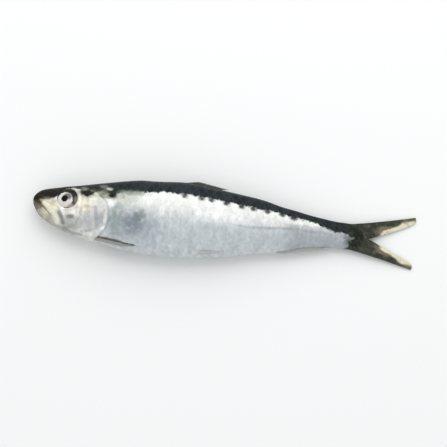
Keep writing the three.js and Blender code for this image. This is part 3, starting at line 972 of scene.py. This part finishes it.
def eye_material(form, colours):
    """A wet eye: a clear cornea over a pearly iris and a black pupil, with a painted shadow round the
    pupil and dark skin round them that is partly painted shade of the socket.
    """
    material, node = new_material("wet_cornea")
    place = node("Attribute", attribute_name="from_pupil").outputs["Vector"]
    clouds = node("TexNoise", place, 0.9, 3.0)
    colour = node("Mix", clouds, "#b9b3aa", colours.iris, **RGBA)
    # Ovals, in millimetres from the pupil towards the tail and the back: middle, half sizes, turn,
    # where the edge begins and ends as a share of the half sizes, and the amount inside and outside.
    pupil_size = (form.pupil_radius, form.pupil_radius)
    ovals = (
        # Next: a grey painted shadow round the pupil, towards the tail and the back.
        ((1.4, 1.2), (2.4, 2.0), 0.0, (0.7, 1.3), (0.85, 0.0), "#443f3c"),
        # Next: dark outside the iris, the eye's own dark rim, partly painted shade of the socket.
        ((0.3, -0.5), (4.1, 4.1), 0.0, (1.0, 1.16), (0.0, 1.0), "#0c0b08"),
        ((5.6, -0.4), (1.4, 2.6), 0.0, (0.3, 1.3), (0.7, 0.0), "#8f887b"),
        ((3.4, -3.5), (2.3, 1.8), 0.6, (0.3, 1.3), (0.9, 0.0), "#aa9f94"),
        ((0, 0), pupil_size, 0.0, (1.0, 1.25), (1.0, 0.0), colours.pupil),
    )
    for middle, half_sizes, turn, (start, end), (inside, outside), tint in ovals:
        scaled = node(
            "Mapping", place, (*middle, 0), (0, 0, turn), (*half_sizes, 1), vector_type="TEXTURE"
        )
        reach = node("VectorMath", scaled, operation="LENGTH").outputs["Value"]
        ragged = node("Math", clouds, 0.3, reach, operation="MULTIPLY_ADD")
        amount = node("MapRange", ragged, start, end, inside, outside, **SMOOTH)
        colour = node("Mix", amount, colour, tint, **RGBA)
    shader = node("BsdfPrincipled", by_name={
        "Base Color": colour,
        "Roughness": 0.3,
        "Specular IOR Level": 0.05,
        "Coat Weight": 0.4,
        "Coat Roughness": 0.05,
        "Coat IOR": CORNEA_IOR,
    })
    node("OutputMaterial", shader)
    return material


def fin_material(name, web, ray_tint, dark_tint, pale_tint):
    """Fin membrane between soft rays: thin, wet skin, dark where pigment runs along the rays."""
    material, node = new_material(name)
    place = node("TexCoord").outputs["Object"]
    count, dark, pale = (
        node("Attribute", attribute_name=field).outputs["Fac"]
        for field in ("ray_count", "fin_dark", "fin_pale")
    )
    blotch = node("TexNoise", place, 1 / (2.5 * MM), 4.0)
    ragged = node("MapRange", blotch, 0.3, 0.7, 0.5, 1.5)
    phase = node("Math", count, 2 * math.pi, operation="MULTIPLY")
    wave = node("Math", phase, operation="COSINE")
    ray = node("MapRange", wave, 0.2, 0.9)
    colour = node("Mix", ray, web, ray_tint, **RGBA)
    # The dark pigment is flecked, and the rays show faintly through it.
    fleck = node("TexNoise", place, 1 / (2.6 * MM), 2.0)
    fleck = node("MapRange", fleck, 0.45, 0.75, 0, 0.8)
    flecked = node("Mix", fleck, dark_tint, FLECK, **RGBA)
    thinned = node("MapRange", ray, 0, 1, 1.0, 0.88)
    for mask, tint, strength in ((dark, flecked, thinned), (pale, pale_tint, 1.0)):
        colour, _ = tinted(node, colour, mask, ragged, tint, strength)
    shader = node("BsdfPrincipled", by_name={
        "Base Color": colour,
        "Roughness": 0.42,
        "Specular IOR Level": 0.2,
        "Coat Weight": 0.2,
        "Coat Roughness": 0.15,
        "Coat IOR": WATER_IOR,
    })
    node("OutputMaterial", shader)
    return material


def floor_material(colours):
    """Matte white laminate: even and pale, so that it throws soft light back up."""
    material, node = new_material("matte_white_laminate")
    shader = node("BsdfPrincipled", by_name={"Base Color": colours.floor, "Roughness": 0.8})
    node("OutputMaterial", shader)
    return material


# ---- Settings ----


def colour_property(name, description, hex_colour):
    """A colour that a user can change."""
    return FloatVectorProperty(
        name=name, description=description, subtype="COLOR", size=4, min=0, max=1,
        default=linear(hex_colour),
    )


class RawFishForm(bpy.types.PropertyGroup):
    scale_pitch: FloatProperty(
        name="Scale pitch", description="Free edge to free edge at the deepest section, in millimetres",
        default=4.6, min=1.5, max=8,
    )
    scale_relief: FloatProperty(
        name="Scale relief", description="Height of a scale's free edge, in millimetres",
        default=0.04, min=0, max=0.3,
    )
    wetness: FloatProperty(
        name="Wetness", description="Share of the skin under a film of water",
        default=0.5, min=0, max=1, subtype="FACTOR",
    )
    pupil_radius: FloatProperty(
        name="Pupil radius", description="Radius of the black pupil, in millimetres",
        default=1.7, min=0.5, max=3,
    )
    tail_rays: IntProperty(
        name="Tail rays", description="Soft rays in the tail fin", default=38, min=10, max=60
    )


class RawFishColours(bpy.types.PropertyGroup):
    back: colour_property("Back", "Dark back above the silver", "#14191c")
    upper_flank: colour_property("Upper flank", "Bright silver under the back", "#efefea")
    lower_flank: colour_property("Lower flank", "Bluish silver of the belly side", "#e0e5e8")
    head: colour_property("Head", "Creamy silver of the head", "#dedbcf")
    belly_edge: colour_property("Belly edge", "Pale strip along the belly", "#cdd1d3")
    mottle: colour_property("Nape mottles", "Olive mottles behind the eye", "#2f301e")
    iris: colour_property("Iris", "Pearl of the iris", "#f7f4ef")
    pupil: colour_property("Pupil", "Black of the pupil", "#050506")
    fin_web: colour_property("Fin web", "Olive web between the rays", "#665f4a")
    fin_dark: colour_property("Fin dark", "Dark olive root of the tail fin", "#1a2016")
    fin_pale: colour_property("Fin pale", "Cream margin of the tail fin", "#dcd8bc")
    side_fin: colour_property("Side fins", "Grey web of the fins on the body", "#93948e")
    side_fin_dark: colour_property("Side fin edge", "Dark upper edge of those fins", "#55534b")
    floor: colour_property("Floor", "Pale floor under the fish", "#f2f2f1")


class RawFishStage(bpy.types.PropertyGroup):
    azimuth: FloatProperty(
        name="Camera azimuth", description="Turn of the camera round the fish, from the belly side",
        default=math.radians(6.65), subtype="ANGLE",
    )
    elevation: FloatProperty(
        name="Camera elevation", description="Height of the camera over the floor's plane",
        default=math.radians(78), subtype="ANGLE",
    )
    distance: FloatProperty(
        name="Camera distance", description="From the camera to the middle of the fish",
        default=0.8386, min=0.1, max=5, unit="LENGTH",
    )
    key_power: FloatProperty(
        name="Key light", description="Power of the soft light over the back",
        default=4.3, min=0, unit="POWER",
    )
    fill_power: FloatProperty(
        name="Fill light", description="Power of the soft light on the belly side",
        default=0.3, min=0, unit="POWER",
    )
    world_light: FloatProperty(
        name="Room light", description="Brightness of the even light all round",
        default=0.85, min=0, max=5,
    )


# ---- Operators ----


def aimed(name, data, location, direction):
    """Adds a light or a camera that looks in a direction."""
    made = bpy.data.objects.new(name, data)
    made.location = location
    made.rotation_mode = "QUATERNION"
    made.rotation_quaternion = direction.to_track_quat("-Z", "Y")
    bpy.context.scene.collection.objects.link(made)
    return made


class RAWFISH_OT_skin(bpy.types.Operator):
    """Build the body, from the snout to the root of the tail fin, with its skin"""

    bl_idname = "raw_fish.skin"
    bl_label = "Body and skin"

    def execute(self, context):
        scene = context.scene
        build_skin(scene.raw_fish_form, skin_material(scene.raw_fish_form, scene.raw_fish_colours))
        return {"FINISHED"}


class RAWFISH_OT_eyes(bpy.types.Operator):
    """Build both eyes"""

    bl_idname = "raw_fish.eyes"
    bl_label = "Eyes"

    def execute(self, context):
        scene = context.scene
        material = eye_material(scene.raw_fish_form, scene.raw_fish_colours)
        for name, side in (("eye_left", 1), ("eye_right", -1)):
            build_eye(name, side, material)
        return {"FINISHED"}


class RAWFISH_OT_fins(bpy.types.Operator):
    """Build the tail fin, the folded fins of back and underside, and the paired fins"""

    bl_idname = "raw_fish.fins"
    bl_label = "Fins"

    def execute(self, context):
        scene = context.scene
        colours = scene.raw_fish_colours
        tail_skin = fin_material(
            "tail_fin_membrane", colours.fin_web, "#877e65", colours.fin_dark, colours.fin_pale
        )
        body_skin = fin_material(
            "body_fin_membrane", colours.side_fin, "#aeafa8", colours.side_fin_dark, "#babdbd"
        )
        back_skin = fin_material("back_fin_membrane", "#5a594f", "#727167", "#34352e", "#74736a")
        tail = {
            "rays": scene.raw_fish_form.tail_rays, "steps": 60, "rib": 0.05, "halves": (0.45, 0.14),
            "fray": 0.5, "flare": TAIL_FLARE, "seed": 11, "dark": tail_dark, "pale": tail_pale,
        }
        build_fin("tail_fin", tail_ray, on_middle_plane, tail, tail_skin)
        ridge = {
            "steps": 14, "rib": 0.04, "halves": (0.5, 0.2), "fray": 0.5, "flare": 1.0,
            "pale": lambda at, across, margin: 0.4 * fade(0, 6, margin),
        }
        dorsal = ridge | {
            "rays": 17, "seed": 5, "dark": lambda at, across, margin: 0.6 + 0.4 * ease(0, 4, margin)
        }
        anal = ridge | {
            "rays": 18, "seed": 6, "dark": lambda at, across, margin: 0.4 * ease(2, 8, margin)
        }
        build_fin("dorsal_fin", ridge_ray(DORSAL, 1), on_middle_plane, dorsal, back_skin)
        build_fin("anal_fin", ridge_ray(ANAL, -1), on_middle_plane, anal, body_skin)
        pectoral = {
            "rays": 15, "steps": 40, "rib": 0.035, "halves": (0.3, 0.14), "fray": 1.0, "flare": 1.0,
            "dark": lambda at, across, margin: fade(0.12, 0.5, across),
            "pale": lambda at, across, margin: 0 * across,
        }
        pelvic = pectoral | {
            "rays": 8, "steps": 24, "fray": 0.8,
            "dark": lambda at, across, margin: 0 * across,
            "pale": lambda at, across, margin: 0.85 + 0 * across,
        }
        for end, side in (("left", 1), ("right", -1)):
            for name, corners, shape in (("pectoral", PECTORAL, pectoral), ("pelvic", PELVIC, pelvic)):
                shape = shape | {"seed": 20 + side}
                level = paired_level(side)
                build_fin(f"{name}_fin_{end}", paired_ray(corners), level, shape, body_skin)
        return {"FINISHED"}


class RAWFISH_OT_stage(bpy.types.Operator):
    """Add the floor, the lights and the camera"""

    bl_idname = "raw_fish.stage"
    bl_label = "Floor, lights and camera"

    def execute(self, context):
        scene = context.scene
        stage = scene.raw_fish_stage
        mesh = bpy.data.meshes.new("floor")
        corners = [(FLOOR * x, FLOOR * y, 0) for x, y in ((-1, -1), (1, -1), (1, 1), (-1, 1))]
        mesh.from_pydata(corners, [], [(0, 1, 2, 3)])
        mesh.materials.append(floor_material(scene.raw_fish_colours))
        floor = bpy.data.objects.new("floor", mesh)
        scene.collection.objects.link(floor)

        middle = (CAD_BOX[0] + CAD_BOX[1]) / 2
        lights = (  # place and side of the square in metres, and power
            ("key_light", (0.0, 0.62, 0.62), 1.0, stage.key_power),
            ("fill_light", (-0.35, -0.6, 0.5), 0.6, stage.fill_power),
        )
        for name, place, size, power in lights:
            light = bpy.data.lights.new(name, "AREA")
            light.shape, light.size, light.energy = "SQUARE", size, power
            aimed(name, light, place, middle - Vector(place))

        world = bpy.data.worlds.new("soft_room")
        world.use_nodes = True
        world.node_tree.nodes.clear()
        glow = add_node(world.node_tree, "Background", "#f4f6f8", stage.world_light)
        add_node(world.node_tree, "OutputWorld", glow)
        scene.world = world
        scene.view_settings.view_transform = "Standard"

        camera = bpy.data.cameras.new("camera")
        camera.lens = LENS
        level = math.cos(stage.elevation)
        away = Vector((
            math.sin(stage.azimuth) * level, -math.cos(stage.azimuth) * level, math.sin(stage.elevation)
        ))
        scene.camera = aimed("camera", camera, middle + away * stage.distance, -away)
        return {"FINISHED"}


class RAWFISH_PT_panel(bpy.types.Panel):
    bl_idname = "RAWFISH_PT_panel"
    bl_label = "Raw Fish"
    bl_space_type = "VIEW_3D"
    bl_region_type = "UI"
    bl_category = "Raw Fish"

    def draw(self, context):
        for operator in OPERATORS:
            self.layout.operator(operator.bl_idname)
        for group_name in GROUPS:
            group = getattr(context.scene, group_name)
            box = self.layout.box()
            for name in group.bl_rna.properties.keys():
                if name not in ("rna_type", "name"):
                    box.prop(group, name)


GROUPS = {
    "raw_fish_form": RawFishForm,
    "raw_fish_colours": RawFishColours,
    "raw_fish_stage": RawFishStage,
}
OPERATORS = (RAWFISH_OT_skin, RAWFISH_OT_eyes, RAWFISH_OT_fins, RAWFISH_OT_stage)
CLASSES = (*GROUPS.values(), *OPERATORS, RAWFISH_PT_panel)


def register():
    for cls in CLASSES:
        bpy.utils.register_class(cls)
    for name, group in GROUPS.items():
        setattr(bpy.types.Scene, name, PointerProperty(type=group))


def unregister():
    for name in GROUPS:
        delattr(bpy.types.Scene, name)
    for cls in reversed(CLASSES):
        bpy.utils.unregister_class(cls)


def main():
    register()
    bpy.ops.raw_fish.skin()
    bpy.ops.raw_fish.eyes()
    bpy.ops.raw_fish.fins()
    bpy.ops.raw_fish.stage()


if __name__ == "__main__":
    main()
